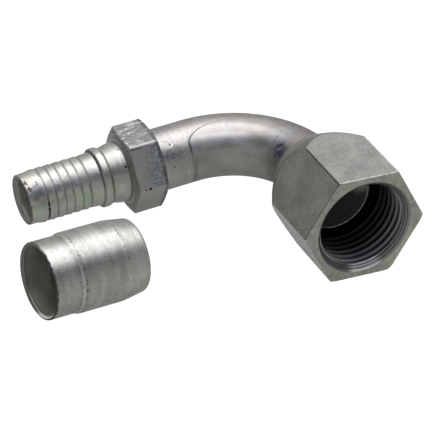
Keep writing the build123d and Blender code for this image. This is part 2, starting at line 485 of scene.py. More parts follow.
def bevelled(piece, width, steeper_than):
    """Rounds the edges that turn by more than an angle in degrees."""
    change = piece.modifiers.new("bevel", "BEVEL")
    change.width = width * mm
    change.segments = 3
    change.limit_method = "ANGLE"
    change.angle_limit = radians(steeper_than)
    only(piece)
    bpy.ops.object.modifier_apply(modifier=change.name)


def placement(origin, side, axis):
    """Matrix from a piece's own axes, Z along its axis and X to the side, to the frame."""
    turn = Matrix((side, axis.cross(side), axis)).transposed().to_4x4()
    return Matrix.Translation(origin * mm) @ turn


def finish_mesh(piece, place):
    """Puts the mesh in its place, shades it smooth up to a crease angle and weighs its normals."""
    crease = 32
    only(piece)
    piece.matrix_world = place
    bpy.ops.object.transform_apply(location=True, rotation=True, scale=True)
    bpy.ops.object.shade_smooth_by_angle(angle=radians(crease))
    weigh = piece.modifiers.new("normals", "WEIGHTED_NORMAL")
    weigh.keep_sharp = True
    bpy.ops.object.modifier_apply(modifier=weigh.name)
    low = np.array([v.co for v in piece.data.vertices]).min(0) / mm
    high = np.array([v.co for v in piece.data.vertices]).max(0) / mm
    print(piece.name, "from", low.round(2), "to", high.round(2), len(piece.data.polygons), "faces")


def keep_place(piece, places):
    """Stores each point's place in the straightened piece, in millimetres, for the finishes."""
    attribute = piece.data.attributes.new("place", "FLOAT_VECTOR", "POINT")
    attribute.data.foreach_set("vector", places.astype(np.float32).ravel())


def own_places(piece, place):
    """Each point's place in the piece's own axes, in millimetres: along, to the side, upwards."""
    points = np.array([v.co for v in piece.data.vertices])
    inverse = np.array(place.inverted())
    local = points @ inverse[:3, :3].T + inverse[:3, 3]
    return local[:, [2, 0, 1]] / mm

# %% [markdown]
# ## The insert
#
# The real insert is one piece of steel: turned at both ends, forged at the hexagon and bent. One
# skin is carried along it: up the bore, over the mouth and the serrations, round the bend with the
# spin tool, over the head, down its cone seat and back through the bend. The skin then meets itself.

# %% Outline of the tail and the head
def tail_outline():
    """Outside of the tail from the mouth of the bore to the bend, as (reach, radius)."""
    peak = root_radius + barb_height
    outline = [(bend_radius, bore_radius), (tail_end - mouth_cone, bore_radius, 0.1),
               (tail_end, bore_radius + mouth_cone, 0.06), (tail_end, tip_radius - edge_break, 0.06),
               (tail_end - edge_break, tip_radius, 0.06), (tip_break, tip_radius, 0.3),
               (last_barb_front, peak - 0.01, 0.1), (last_barb_peak, peak - 0.01, 0.1),
               (last_barb_foot, root_radius, 0.06)]
    for barb in range(barb_count, 0, -1):
        foot = barbs_back + (barb - 1) * barb_pitch
        outline += [(foot + barb_ramp, peak, 0.08), (foot, root_radius, 0.06)]
    outline += [(land_front, peak, 0.3), (land_back, peak, 0.06), (bead_front, bead_radius, 0.18),
                (bead_back, bead_radius, 0.25), (neck_front, neck_radius, 0.2),
                (neck_back, neck_radius, 0.2), (collar_front, collar_radius, 0.3),
                (collar_back, collar_radius, 0), (tube_front, tube_radius, 0),
                (hex_back - 0.5, tube_radius, 0),
                (bend_radius, tube_radius)]
    return outline


head_outline = [(bend_radius, tube_radius), (shoulder_start, tube_radius, 0.6),
                (head_back, head_radius, 0.4), (head_front, head_radius, 0.2),
                (seat_reach, head_radius - head_nose, 0.1),
                (seat_reach, seat_rim_radius, 0.12), (seat_back, bore_radius, 0.25),
                (bend_radius, bore_radius)]

# %% Carry the skin along the insert
bend_steps = 40
along_tail = Vector((0, 0, 1))
along_head = Vector((1, 0, 0))
bend_middle = Vector((bend_radius, 0, bend_radius)) * mm
tail_points = softened(tail_outline(), 0.12)
head_points = softened(head_outline, 0.12)
insert = first_ring("insert_steel", bend_radius, bore_radius)
more_rings(tail_points[1:], bend_radius, bore_radius, along_tail)
bpy.ops.mesh.spin(steps=bend_steps, angle=pi / 2, center=bend_middle, axis=(0, 1, 0))
more_rings(head_points[1:], bend_radius, tube_radius, along_head)
bpy.ops.mesh.spin(steps=bend_steps, angle=-pi / 2, center=bend_middle, axis=(0, 1, 0))
close_rings()
print("insert skin", len(insert.data.vertices), "vertices")

# %% [markdown]
# The hexagon is a six-sided prism whose corners are turned off at both ends. A turned ring gives
# the cones: what prism and ring share is the hexagon, and it is joined to the skin. Its hole lies
# inside the steel of the tube, so the bore stays open.

# %% The hexagon
def prism(name, across_flats, low, high):
    """A six-sided prism round the Z axis with its corners towards X."""
    bpy.ops.object.select_all(action="DESELECT")
    bpy.ops.mesh.primitive_cylinder_add(
        vertices=6, radius=across_flats / 2 / cos(radians(30)) * mm, depth=(high - low) * mm,
        location=(0, 0, (low + high) / 2 * mm), rotation=(0, 0, radians(30)))
    piece = bpy.context.object
    piece.name = name
    bpy.ops.object.transform_apply(location=True, rotation=True, scale=True)
    return piece


hex_outer = hex_across_flats / 2 / cos(radians(30)) + 0.6
front_fall = (hex_outer - collar_radius) * tan(hex_corner_angle)
back_fall = (hex_outer - hex_across_flats / 2) * tan(hex_corner_angle)
wall_middle = 5.0
hex_outline = [(hex_back, wall_middle), (hex_back, hex_across_flats / 2), (hex_back + back_fall, hex_outer),
               (hex_front - front_fall, hex_outer), (hex_front, collar_radius), (hex_front, wall_middle),
               (hex_back, wall_middle)]
hexagon = prism("hexagon", hex_across_flats, hex_back - 1, hex_front + 1)
hex_cones = turned_ring("hex_cones", hex_outline, 0)
combined(hexagon, hex_cones, "INTERSECT")
bevelled(hexagon, 0.16, 35)
combined(insert, hexagon, "UNION")

# %% Place the insert
insert_place = placement(corner, nut_direction, tail_direction)
finish_mesh(insert, insert_place)


def straightened(piece, place):
    """Places as if the bend were straight: reach from the bend's start, inwards, upwards."""
    own = own_places(piece, place)
    tail_side = own[:, 0] - bend_radius
    head_side = own[:, 1] - bend_radius
    along = tail_side.copy()
    inwards = own[:, 1].copy()
    in_head = head_side > 0
    along[in_head] = -pi / 2 * bend_radius - head_side[in_head]
    inwards[in_head] = own[in_head, 0]
    bent = (tail_side <= 0) & (head_side <= 0)
    angle = np.arctan2(-tail_side[bent], -head_side[bent])
    along[bent] = -angle * bend_radius
    inwards[bent] = bend_radius - np.hypot(tail_side[bent], head_side[bent])
    return np.stack([along, inwards, own[:, 2]], axis=1)


keep_place(insert, straightened(insert, insert_place))
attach(insert, "fitting")
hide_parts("insert")

# %% [markdown]
# ## The swivel nut
#
# The nut is cut from hexagon bar. A turned ring holds its skirt at the rear, the small corner cut
# at the front, and its inside: neck, chamber, thread wall and countersink. What bar and ring share
# is the nut. A tap then cuts the thread: a V-shaped outline that the Screw modifier winds up.

# %% The nut without its thread
nut_corner = nut_across_flats / 2 / cos(radians(30))
nut_outer = nut_corner + 0.6
face_radius = nut_corner - 0.5
nut_outline = [(nut_rear, hole_radius), (nut_rear, rear_radius, 0.3),
               (nut_rear + 0.2, rear_radius + 0.2, 0.3),
               (skirt_front - skirt_cone, nut_corner - skirt_cone * skirt_slope, 1.5),
               (skirt_front + (nut_outer - nut_corner) / skirt_slope, nut_outer, 0),
               (nut_front - (nut_outer - face_radius) * tan(corner_cut), nut_outer, 0),
               (nut_front, face_radius, 0.05), (nut_front, countersink_radius, 0.1),
               (nut_front - (countersink_radius - thread_minor_radius), thread_minor_radius, 0.1),
               (thread_back, thread_minor_radius, 0.1), (thread_back, relief_radius, 0.1),
               (relief_back, relief_radius, 0.1), (relief_back, chamber_radius, 0.1),
               (chamber_back, chamber_radius, 0.2), (neck_end, hole_radius, 0.2),
               (nut_rear, hole_radius)]
nut = prism("nut_steel", nut_across_flats, nut_rear - 1, nut_front + 1)
nut_turning = turned_ring("nut_turning", nut_outline, 0.1)
combined(nut, nut_turning, "INTERSECT")
bevelled(nut, 0.2, 50)

# %% The tap
def tap(name, low, high):
    """A winding V-shaped cutter from one reach to past another, with closed ends."""
    bpy.ops.object.select_all(action="DESELECT")
    bpy.ops.mesh.primitive_plane_add(size=mm, location=(0, 0, 0))
    cutter = bpy.context.object
    cutter.name = name
    half_root = thread_pitch / 16
    inside = 8.35
    half_foot = half_root + (thread_major_radius - inside) * tan(radians(30))
    profile = [(inside, low - half_foot), (thread_major_radius, low - half_root),
               (inside, low + half_foot), (thread_major_radius, low + half_root)]
    for vertex, (radius, reach) in zip(cutter.data.vertices, profile):
        vertex.co = (radius * mm, 0, reach * mm)
    bpy.ops.object.mode_set(mode="EDIT")
    bpy.ops.mesh.select_all(action="SELECT")
    bpy.ops.mesh.delete(type="ONLY_FACE")
    bpy.ops.object.mode_set(mode="OBJECT")
    wind = cutter.modifiers.new("wind", "SCREW")
    wind.angle = 2 * pi
    wind.screw_offset = thread_pitch * mm
    wind.iterations = int((high - low) / thread_pitch) + 1
    wind.steps = ring_sides
    wind.render_steps = ring_sides
    wind.use_merge_vertices = False
    bpy.ops.object.modifier_apply(modifier=wind.name)
    bpy.ops.object.mode_set(mode="EDIT")
    bpy.ops.mesh.select_all(action="DESELECT")
    bpy.ops.mesh.select_mode(type="EDGE")
    bpy.ops.mesh.select_non_manifold(extend=False, use_wire=False, use_boundary=True, use_multi_face=False,
                                     use_non_contiguous=False, use_verts=False)
    bpy.ops.mesh.fill_holes(sides=4)
    bpy.ops.mesh.select_all(action="SELECT")
    bpy.ops.mesh.normals_make_consistent(inside=False)
    bpy.ops.object.mode_set(mode="OBJECT")
    print(f"tap: {len(cutter.data.polygons)} faces")
    return cutter


combined(nut, tap("tap", thread_back - 0.5, nut_front + 0.5), "DIFFERENCE")

# %% Place the nut
nut_place = placement(corner, Vector((1, 0, 0)), nut_direction)
finish_mesh(nut, nut_place)
keep_place(nut, own_places(nut, nut_place))
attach(nut, "nut")
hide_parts("swivel_nut")

# %% [markdown]
# ## The ferrule
#
# The ferrule is a turned shell: a slightly smaller mouth, a step, a straight body, a taper and a
# rounded rear end whose lip has the hole for the tail. Inside, four shallow rings grip the hose.

# %% Turn the ferrule
lead_depth = 0.55
ferrule_outline = [(lead_depth, entry_radius), (0.35, entry_radius, 0.1), (0, 7.1, 0.06), (0, 7.3, 0.06),
                   (edge_break, mouth_radius, 0.1), (step_start, mouth_radius, 0.3),
                   (step_end, ferrule_radius, 0.3), (taper_start, ferrule_radius, 0.5),
                   (taper_end, 7.12, 0.35), (ferrule_length, 6.77, 0.2),
                   (ferrule_length, lip_radius, 0.1), (lip_back, lip_radius, 0.1),
                   (lip_back, grip_radius, 0.1)]
for ring in reversed(range(grip_rings)):
    groove = first_grip + ring * grip_pitch
    ferrule_outline += [(groove + grip_width, grip_radius, 0.08), (groove, grip_groove_radius, 0.08),
                        (groove, grip_radius, 0.08)]
ferrule_outline += [(entry_depth, grip_radius, 0.1), (entry_depth, entry_radius, 0.1),
                    (lead_depth, entry_radius)]
ferrule = turned_ring("ferrule_steel", ferrule_outline, 0.12)
ferrule_place = placement(ferrule_mouth, Vector((0, 0, 1)), ferrule_direction)
finish_mesh(ferrule, ferrule_place)
keep_place(ferrule, own_places(ferrule, ferrule_place))
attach(ferrule, "fitting")
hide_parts("crimp_ferrule")

# %% [markdown]
# ## Finishes
#
# Each finish is a metal with a cloudy base colour, a satin roughness and a fine bump. Masks go on top
# of it: darker grooves, bright metal where edges wear, pits, scratches, stains and rust, and painted
# light and shade: highlights, reflections and shadows laid into the colour.
# Painted pictures could do this too, but masks stay sharp close up and need no file. Places are read
# from the attribute, in millimetres, so a mark stays where it is when the nut turns.

# %% Start a metal
def metal(name):
    """A metal material, and wires for its place, reach, side, height, radius and angle."""
    finish = bpy.data.materials.new(name)
    finish.use_nodes = True
    tree = finish.node_tree
    tree.nodes["Principled BSDF"].inputs["Metallic"].default_value = 1.0
    place = Wire(tree).node("ShaderNodeAttribute", {"attribute_name": "place"}).output("Vector")
    parts = place.node("ShaderNodeSeparateXYZ", None, {"Vector": place})
    along = parts.output("X")
    side = parts.output("Y")
    height = parts.output("Z")
    radius = place.math("SQRT", side * side + height * height)
    angle = place.math("ARCTAN2", height, side) * (180 / pi)
    return finish, place, along, side, height, radius, angle

# %% Dress a piece
def dress(piece, finish, base, roughness, bump, strength):
    """Links a colour, a roughness and a height in millimetres to a metal and gives it to a piece."""
    tree = finish.node_tree
    shader = tree.nodes["Principled BSDF"]
    relief = base.node("ShaderNodeBump", None, {"Height": bump, "Strength": strength, "Distance": mm})
    tree.links.new(base.socket, shader.inputs["Base Color"])
    tree.links.new(roughness.socket, shader.inputs["Roughness"])
    tree.links.new(relief.socket, shader.inputs["Normal"])
    piece.data.materials.clear()
    piece.data.materials.append(finish)
    print(f"{piece.name} wears {finish.name}, {len(tree.nodes)} nodes")

# %% [markdown]
# ### The insert's zinc
#
# The turned tail is the brightest part, and the bend gets duller towards the nut. Three noises are
# added up: clouds, streaks along the tube and grain. A thin film tints the zinc blue here, warm there.

# %% The insert: plain zinc
finish, place, along, side, height, radius, angle = metal("insert_zinc_finish")
clouds = place.noise(0.25, 4.0, 0.6)
streaks = place.times((1.2, 0.2, 0.2)).noise(1.0, 3.0, 0.6) * along.rise(0.0, 3.0)
grain = place.noise(4.0, 3.0, 0.7)
turning = place.times((7.0, 0.03, 0.03)).noise(1.0, 2.0, 0.6)
mottle = clouds * 0.4 + streaks * 0.2 + grain * 0.4 + along.rise(3.0, 0.0) * 0.1
cloudy = mottle.rise(0.36, 0.64)
base = cloudy.tint(colour(0.41, 0.405, 0.39), colour(0.56, 0.555, 0.54))
outside = radius.rise(bore_radius + 0.35, bore_radius + 0.6)
tail = along.rise(14.5, 15.5)
dull = (along + clouds * 3).rise(-14.0, -21.0)
base = base.shaded(tail, (1.10, 1.10, 1.08))
base = base.shaded(dull, (0.62, 0.61, 0.64))
base = base.shaded(along.rise(2.0, -4.0) * 0.8, (0.93, 0.90, 0.89))
film = place.noise(0.45, 3.0, 0.6)
base = base.shaded(film.rise(0.52, 0.66) * 0.5, (0.86, 0.87, 0.99))
base = base.shaded(film.rise(0.46, 0.36) * 0.4, (1.03, 0.99, 0.95))

# %% The insert: painted light below, a painted highlight and painted specks in the dark band
# Painted light: the lower side is lightened, and on the bend only tinted, as the lit table below would show
# in it.
lower_side_painted_light = angle.rise(30.0, 5.0) * along.rise(0.5, 2.5)
base = base.shaded(lower_side_painted_light * (0.8 + tail * 0.3), (1.14, 1.17, 1.10))
base = base.shaded(angle.rise(35.0, 15.0) * along.rise(0.5, -1.0), (1.0, 1.015, 0.96))
# Painted highlight: the lower edge of the bright band is lightened on the bend.
painted_highlight_edge = angle.near(45.0, 7.0, 9.0) * along.rise(0.5, -2.0) * along.rise(-17.0, -12.0)
base = base.shaded(painted_highlight_edge, (1.45, 1.43, 1.48))
# Painted reflection: dark blue-grey specks laid only along the band where the zinc reflects the dark room.
dark_band_painted_specks = place.noise(1.7, 4.0, 0.75).rise(0.47, 0.58)
dark_band_painted_specks = dark_band_painted_specks * angle.near(44.0, 10.0, 8.0) * along.rise(15.2, 15.6)
base = base.painted(dark_band_painted_specks * 0.35, (0.20, 0.205, 0.24))

# %% [markdown]
# ### Dark grooves and painted shadows
#
# The serrations' feet are painted darker, and the corners beside the bead get a painted shadow of its
# steps. A mask of the radius finds the grooves without a list of them. The groove nearest the mouth is
# wider and ragged, with painted shade only on its lower side.

# %% The insert: darker grooves, and painted shadows along the bead and in the last groove
in_barbs = along.rise(21.0, 22.6) * along.rise(32.9, 32.4)
grooves = in_barbs * radius.rise(root_radius + 0.04, root_radius)
# Painted shadow: dark lines at the feet of the bead's steps, stronger on the upper side.
bead_front_shadow = along.near(20.42, 0.08, 0.14) * (0.6 + angle.rise(0.0, 30.0) * 0.4)
bead_step_shadows = (along.near(18.75, 0.04, 0.12) * 0.7).most(bead_front_shadow) * outside
ragged_reach = along + (place.noise(2.2, 3.0, 0.6) - 0.5) * 0.6
# Painted shade: the last groove is darkened only on its lower side.
last_groove_shade = ragged_reach.near(32.02, 0.16, 0.12) * angle.rise(42.0, 12.0) * outside
dark_feet_and_shadows = (grooves * 0.62).most(bead_step_shadows * 0.75).most(last_groove_shade)
dark_feet_and_shadows = dark_feet_and_shadows * (0.55 + place.noise(1.1, 3.0, 0.6) * 0.8)
base = base.painted(dark_feet_and_shadows, (0.05, 0.045, 0.04))

# %% [markdown]
# ### Rust, stains and pits
#
# Where plate is thin or knocked, steel rusts: at the mouth's sharp rim and in a few spots behind it.
# Such marks have their own places, so each is a blot at a point, broken up by noise. The stains and
# films are only tints, which leave the metal's shine.

# %% The insert: rust at the mouth
rust_place = place.blots(((35.0, 1.6, 4.8), 0.4, 0.5, 1.2, 1.8), ((34.9, 3.0, 4.1), 0.35, 0.4, 0.9, 1.8),
                         ((34.1, 2.9, 4.2), 0.25, 0.3, 0.7, 1.8))
rust_spots = place.noise(2.2, 3.0, 0.65).rise(0.44, 0.50) * rust_place
rim_noise = place.noise(1.2, 3.0, 0.65).rise(0.36, 0.44)
rim_rust = along.rise(35.42, 35.56) * rim_noise * side.rise(-0.5, 1.5) * angle.rise(70.0, 50.0)
brown_dots = place.blot((33.2, 2.3, 4.5), 0.3, 0.4, 1.2, 2.5) * place.noise(2.6, 2.0).rise(0.50, 0.56)
faint_stain = place.blot((33.0, 4.6, 1.8), 0.2, 0.9, 0.9) * 0.6
rust_stain = place.blot((34.2, 4.3, 2.6), 0.3, 0.8, 0.8).most(faint_stain)
rust = rust_spots.most(brown_dots).most(rim_rust * 0.9).most(rust_stain * 0.65)
base = base.painted(rust * 0.85, (0.15, 0.085, 0.055))

# %% The insert: stains, pits and a painted purple tint on the tail
blue_tip = place.blot((33.6, 3.6, 3.6), 0.7, 0.9, 1.2, 1.0)
# Painted reflection: a purple tint laid only along the band where the zinc reflects the dark room.
purple_band_tint = place.noise(0.8, 3.0, 0.6).rise(0.50, 0.58) * angle.near(47.0, 9.0, 9.0)
purple_band_tint = purple_band_tint * along.rise(21.0, 23.0)
base = base.shaded(blue_tip * 0.55, (0.50, 0.57, 0.68))
base = base.shaded(purple_band_tint * 0.45, (0.72, 0.64, 0.84))
green_stain = place.blots(((24.3, 5.15, -0.2), 0.7, 1.4, 1.2), ((33.6, 4.8, 0.3), 0.5, 1.3, 1.4))
base = base.shaded(green_stain * 0.7, (0.78, 1.0, 0.88))
placed_pits = place.blots(((15.42, 4.61, 3.84), 0.2, 0.16), ((20.9, 5.35, -2.9), 0.22, 0.2, 0.4, 3.0))
pits = placed_pits.most(place.specks(0.55, 0.07) * outside * 0.6)
base = base.painted(pits * 0.9, (0.03, 0.03, 0.03))

# %% [markdown]
# ### The forging die's line
#
# A die held the bend and left a curved line where it ended. The line bends away past the top, as a
# cube of the angle does; on the lower side a soft painted shade lies beside it. The shank before it is
# scratched and pitted, with one small crater.

# %% The insert: the line that the forging die left
past_top = (angle - 38.0).most(0.0)
from_line = along - (1.68 - past_top * past_top * past_top * 0.000085)
on_tube = along.rise(8.3, 7.9) * radius.rise(6.0, 6.15)
near_line = angle.rise(88.0, 74.0) * on_tube
line_half_width = 0.07 + angle.near(50.0, 8.0, 12.0) * 0.09
die_line = from_line.near(0.0, line_half_width, 0.17) * near_line * (0.4 + angle.rise(22.0, 34.0) * 0.6)
# Painted shade: a soft dark band beside the line, on the bend's side and below.
die_line_painted_shade = from_line.near(-0.25, 0.15, 0.6) * angle.rise(30.0, 5.0) * near_line
beyond_line = from_line.rise(0.0, -0.25) * near_line
base = base.painted((die_line * 0.78).most(die_line_painted_shade * 0.42), (0.09, 0.085, 0.08))

# %% The insert: the shank between the line and the hexagon
shank = from_line.rise(0.1, 0.4) * on_tube
# Painted shade: the shank's top, where its highlight falls, is darkened and tinted pink.
base = base.shaded(shank * angle.rise(38.0, 55.0) * 0.9, (0.955, 0.925, 0.95))
blue_corner = along.rise(5.6, 7.6) * angle.rise(58.0, 78.0) * on_tube
blue_corner = blue_corner * place.noise(1.0, 3.0, 0.7).rise(0.36, 0.5)
base = base.shaded(blue_corner * 0.55, (0.66, 0.68, 0.76))
scratches = place.noise(2.4, 4.0, 0.75).rise(0.54, 0.62) * shank
base = base.painted(scratches * 0.5, (0.78, 0.76, 0.74))
shank_pits = place.noise(2.2, 4.0, 0.75).rise(0.42, 0.36) * shank * angle.rise(20.0, 40.0)
crater_ring = place.blot((5.42, 3.62, 5.10), 0.42, 0.14, 0.3, 3.0)
crater = place.blots(((5.50, 3.50, 5.18), 0.22, 0.12, 0.4, 3.0), ((5.75, 6.06, 1.54), 0.12, 0.12))
base = base.painted(crater_ring * 0.6, (0.90, 0.89, 0.87))
base = base.painted((shank_pits * 0.5).most(crater * 0.85), (0.10, 0.09, 0.085))

# %% [markdown]
# ### Blue marks on the bend
#
# Plating left a blue mottle on the shank and a navy blot with a pale patch near the nut. Blots give
# their places, and noise inside each of them gives the spots.

# %% The insert: blue marks on the bend
blue_mottle = place.blot((7.3, 4.6, 4.2), 0.9, 0.9, 1.8, 1.4) * on_tube
blue_mottle = blue_mottle.most(place.blot((5.0, 4.9, 3.9), 1.2, 0.8, 1.5, 1.4) * on_tube * 0.7)
blue_mottle = blue_mottle * place.noise(1.5, 4.0, 0.7).rise(0.44, 0.54)
navy_spots = place.noise(1.15, 4.0, 0.7).rise(0.42, 0.52)
navy_blot = place.blot((-23.3, 4.5, 4.1), 1.1, 1.3, 1.0, 0.9) * navy_spots
navy_blot = navy_blot.most(place.blot((-25.4, 5.2, 3.4), 0.1, 0.6, 1.0, 1.4))
navy_film = place.blot((-23.4, 4.2, 4.7), 1.6, 2.2, 2.0, 0.6) * place.noise(1.4, 3.0, 0.6).rise(0.36, 0.6)
pale_bend = place.blot((-20.9, 2.6, 5.7), 1.4, 2.0, 1.5, 0.6) * place.noise(1.1, 4.0, 0.75).rise(0.40, 0.62)
warm_end = along.rise(-24.0, -26.0) * height.rise(3.5, 5.5)
base = base.painted(blue_mottle * 0.6, (0.15, 0.16, 0.20))
base = base.shaded(warm_end * 0.6, (1.07, 0.97, 0.93))
base = base.painted(pale_bend * 0.62, (0.50, 0.525, 0.56))
base = base.painted(navy_film * 0.4, (0.17, 0.19, 0.27))
base = base.painted(navy_blot * 0.85, (0.045, 0.05, 0.10))

# %% [markdown]
# ### The hexagon's flats
#
# Bright strokes cross the hexagon's upper flat, its front flat is half blue, and its edges are worn to
# bright metal. The angle round the tube finds each flat. Strokes are noise stretched along the axis,
# and wear is a line that noise moves.

# %% The insert: the hexagon's flats
hex_start = hex_back - bend_radius
hex_end = hex_front - bend_radius
on_hex = along.rise(hex_start - 0.1, hex_start + 0.1) * along.rise(hex_end + 0.04, hex_end - 0.06)
on_hex = on_hex * radius.rise(6.5, 6.7)
hex_top = on_hex * angle.near(90.0, 29.0, 1.0)
hex_front_flat = on_hex * angle.near(30.0, 29.0, 1.0)
base = on_hex.tint(base, cloudy.tint(colour(0.46, 0.465, 0.43), colour(0.56, 0.565, 0.525)))
stroke_rows = side.near(-2.6, 0.8, 0.4).most(side.near(0.0, 0.7, 0.4)).most(side.near(2.9, 0.6, 0.4))
long_strokes = place.times((0.42, 1.9, 1.0)).noise(1.0, 4.0, 0.7)
fine_strokes = place.times((0.6, 3.2, 1.0)).noise(1.1, 3.0, 0.7).rise(0.36, 0.64)
base = hex_top.tint(base, fine_strokes.tint(colour(0.24, 0.235, 0.235), colour(0.42, 0.42, 0.42)))
stroke_lines = long_strokes.rise(0.54, 0.60) * (0.35 + stroke_rows * 0.65) * hex_top
base = base.painted(stroke_lines * 0.85, (0.95, 0.95, 0.96))
blue_half = (along + (place.noise(0.9, 3.0, 0.6) - 0.5) * 2.5).rise(12.2, 11.0) * hex_front_flat
blue_noise = place.noise(1.5, 4.0, 0.75).rise(0.36, 0.64)
blue_tone = blue_noise.tint(colour(0.24, 0.25, 0.29), colour(0.58, 0.59, 0.61))
base = (blue_half * 0.75).tint(base, blue_tone)

# %% The insert: the hexagon's edges
edge_noise = place.noise(1.3, 3.0, 0.7)
behind_cone = along.rise(14.4, 14.1)
ragged_angle = angle + (edge_noise - 0.5) * 8.0 * along.rise(10.6, 12.4)
worn_edge = on_hex * ragged_angle.near(60.6, 1.9, 0.5) * behind_cone
low_edge = on_hex * behind_cone * angle.near(0.0, 0.6, 0.6) * edge_noise.rise(0.42, 0.54)
base = base.painted(worn_edge.most(low_edge * 0.5), (0.97, 0.97, 0.95))
edge_dark_line = on_hex * angle.near(57.4, 0.5, 0.8) * along.rise(10.8, 12.6)
second_nick = place.blot((13.2, 8.75, 0.1), 0.05, 0.3, 0.4, 2.5) * 0.8
nick = place.blot((12.2, 8.75, 0.1), 0.2, 0.2, 0.5, 2.5).most(second_nick)
rear_edge = on_hex * along.rise(9.1, 8.8) * radius.rise(7.6, 7.8)
# Painted shadow: a dark line where the hexagon's cone meets the collar.
collar_foot_shadow = along.near(15.02, 0.05, 0.12) * radius.rise(6.4, 6.2) * outside
brown_cone = on_hex * along.rise(14.2, 14.6) * angle.rise(50.0, 20.0) * place.noise(0.9, 3.0).rise(0.4, 0.55)
dark_cone = on_hex * along.rise(14.1, 14.5) * 0.3
base = base.shaded(brown_cone * 0.5, (0.88, 0.72, 0.62))
# The dark marks below include the painted shadow at the collar's foot.
hex_dark = (edge_dark_line * 0.7).most(nick).most(rear_edge * 0.55).most(collar_foot_shadow * 0.6).most(dark_cone)
base = base.painted(hex_dark, (0.06, 0.06, 0.07))

# %% [markdown]
# ### The bore and the cone seat
#
# Little light gets into the bore, so its colour darkens with depth, which spares many reflections.
# The cone seat is painted dark grey as shade and is rougher; a light and a blue patch on it are painted
# reflections, and its bright rim is a painted highlight.

# %% The insert: bore and seat
bore = radius.rise(bore_radius + 0.3, bore_radius + 0.02)
mouth_inside = bore * along.rise(20.0, 34.0)
mouth_cone_skin = along.rise(34.85, 34.95) * radius.rise(bore_radius + 0.95, bore_radius + 0.75)
base = bore.tint(base, mouth_inside.tint(colour(0.10, 0.10, 0.11), colour(0.80, 0.80, 0.73)))
base = base.painted(mouth_cone_skin * 0.8, (0.24, 0.24, 0.225))
seat = along.rise(-34.0, -34.6) * radius.rise(seat_rim_radius + 0.05, seat_rim_radius - 0.1)
# Painted shade and reflections: the seat is dark, with a light and a blue patch.
seat_light_reflection = place.blot((-37.4, -4.3, 1.3), 2.0, 2.0, 0.8, 0.7)
seat_blue_reflection = place.blot((-37.0, -2.4, 1.2), 1.6, 1.4, 1.0, 0.7)
base = (seat * 0.9).tint(base, seat_light_reflection.tint(colour(0.17, 0.18, 0.185), colour(0.97, 0.98, 0.92)))
base = base.painted(seat_blue_reflection * seat * 0.6, (0.22, 0.28, 0.46))
# Painted highlight: a bright line along the seat's rim, on its lower part.
seat_rim_highlight = along.rise(-38.2, -38.4) * radius.near(seat_rim_radius + 0.05, 0.06, 0.08)
seat_rim_highlight = seat_rim_highlight * place.noise(1.2, 3.0).rise(0.3, 0.5) * height.rise(5.0, 1.0)
base = base.painted(seat_rim_highlight, (0.85, 0.85, 0.80))

# %% The insert: roughness and bump
rough = 0.32 + clouds * 0.14 + dark_feet_and_shadows * 0.25 + rust * 0.3 + dull * 0.08
rough = rough - worn_edge * 0.1 + seat * 0.3
lathe_zones = tail.most(along.rise(-30.0, -31.0))
bump = grain * 0.012 + turning * lathe_zones * 0.008 + streaks * 0.02
bump = bump - pits * 0.08 - crater * 0.08 + beyond_line * 0.07 - die_line * 0.05 + scratches * 0.01
bump = bump + stroke_lines * 0.03 + worn_edge * 0.02 - nick * 0.06
dress(insert, finish, base, rough, bump, 0.7)

# %% [markdown]
# ### The nut's zinc
#
# The nut's plate is greyer, matte and fine-grained. Its front face is olive with a pink and a pale
# patch. Corners and rims are worn to bright sparkles, and a dark seam runs along one corner. Each is
# a mask of the angle, the reach or the radius, so it sits on its edge exactly.

# %% The nut: matte zinc
finish, place, along, side, height, radius, angle = metal("nut_zinc_finish")
clouds = place.noise(0.18, 3.0, 0.6)
grain = place.noise(2.6, 3.0, 0.75)
fine_grain = place.noise(6.0, 2.0, 0.6)
mottle = clouds * 0.3 + grain * 0.4 + fine_grain * 0.3
base = mottle.rise(0.40, 0.60).tint(colour(0.27, 0.268, 0.255), colour(0.44, 0.438, 0.42))
front_face = along.rise(nut_front - 0.12, nut_front - 0.04)
face_mottle = (place.noise(0.5, 4.0, 0.7) * 0.6 + mottle * 0.4).rise(0.38, 0.62)
base = front_face.tint(base, face_mottle.tint(colour(0.41, 0.415, 0.355), colour(0.60, 0.605, 0.535)))
pink_patch = place.blot((nut_front, 9.2, -4.0), 1.0, 2.0, 1.5, 0.6) * front_face
pale_patch = place.blot((nut_front, 6.6, -7.8), 1.2, 2.2, 1.5, 0.5) * front_face
base = base.shaded(pink_patch * 0.7, (1.40, 1.28, 1.24))
base = base.shaded(pale_patch * 0.6, (1.35, 1.36, 1.32))

# %% The nut: flats and edges
on_outside = radius.rise(10.4, 10.8) * along.rise(nut_front - 0.05, nut_front - 0.13)
top_flat = angle.near(90.0, 29.5, 0.5) * on_outside
base = base.shaded(top_flat, (0.99, 0.975, 1.0))
seam = angle.near(120.2, 0.6, 0.6) * on_outside * along.rise(26.0, 26.4)
corners_worn = angle.near(60.0, 0.6, 0.6) * on_outside
front_rim = along.near(nut_front - 0.22, 0.14, 0.08) * top_flat
dark_rim = along.near(nut_front - 0.2, 0.1, 0.1) * angle.near(150.0, 29.0, 1.0) * on_outside
base = base.painted((seam * 0.8).most(dark_rim * 0.55), (0.07, 0.065, 0.065))
wear = corners_worn.most(front_rim) * place.noise(2.0, 3.0, 0.7).rise(0.40, 0.54)
base = base.painted(wear * 0.8, (0.85, 0.86, 0.83))
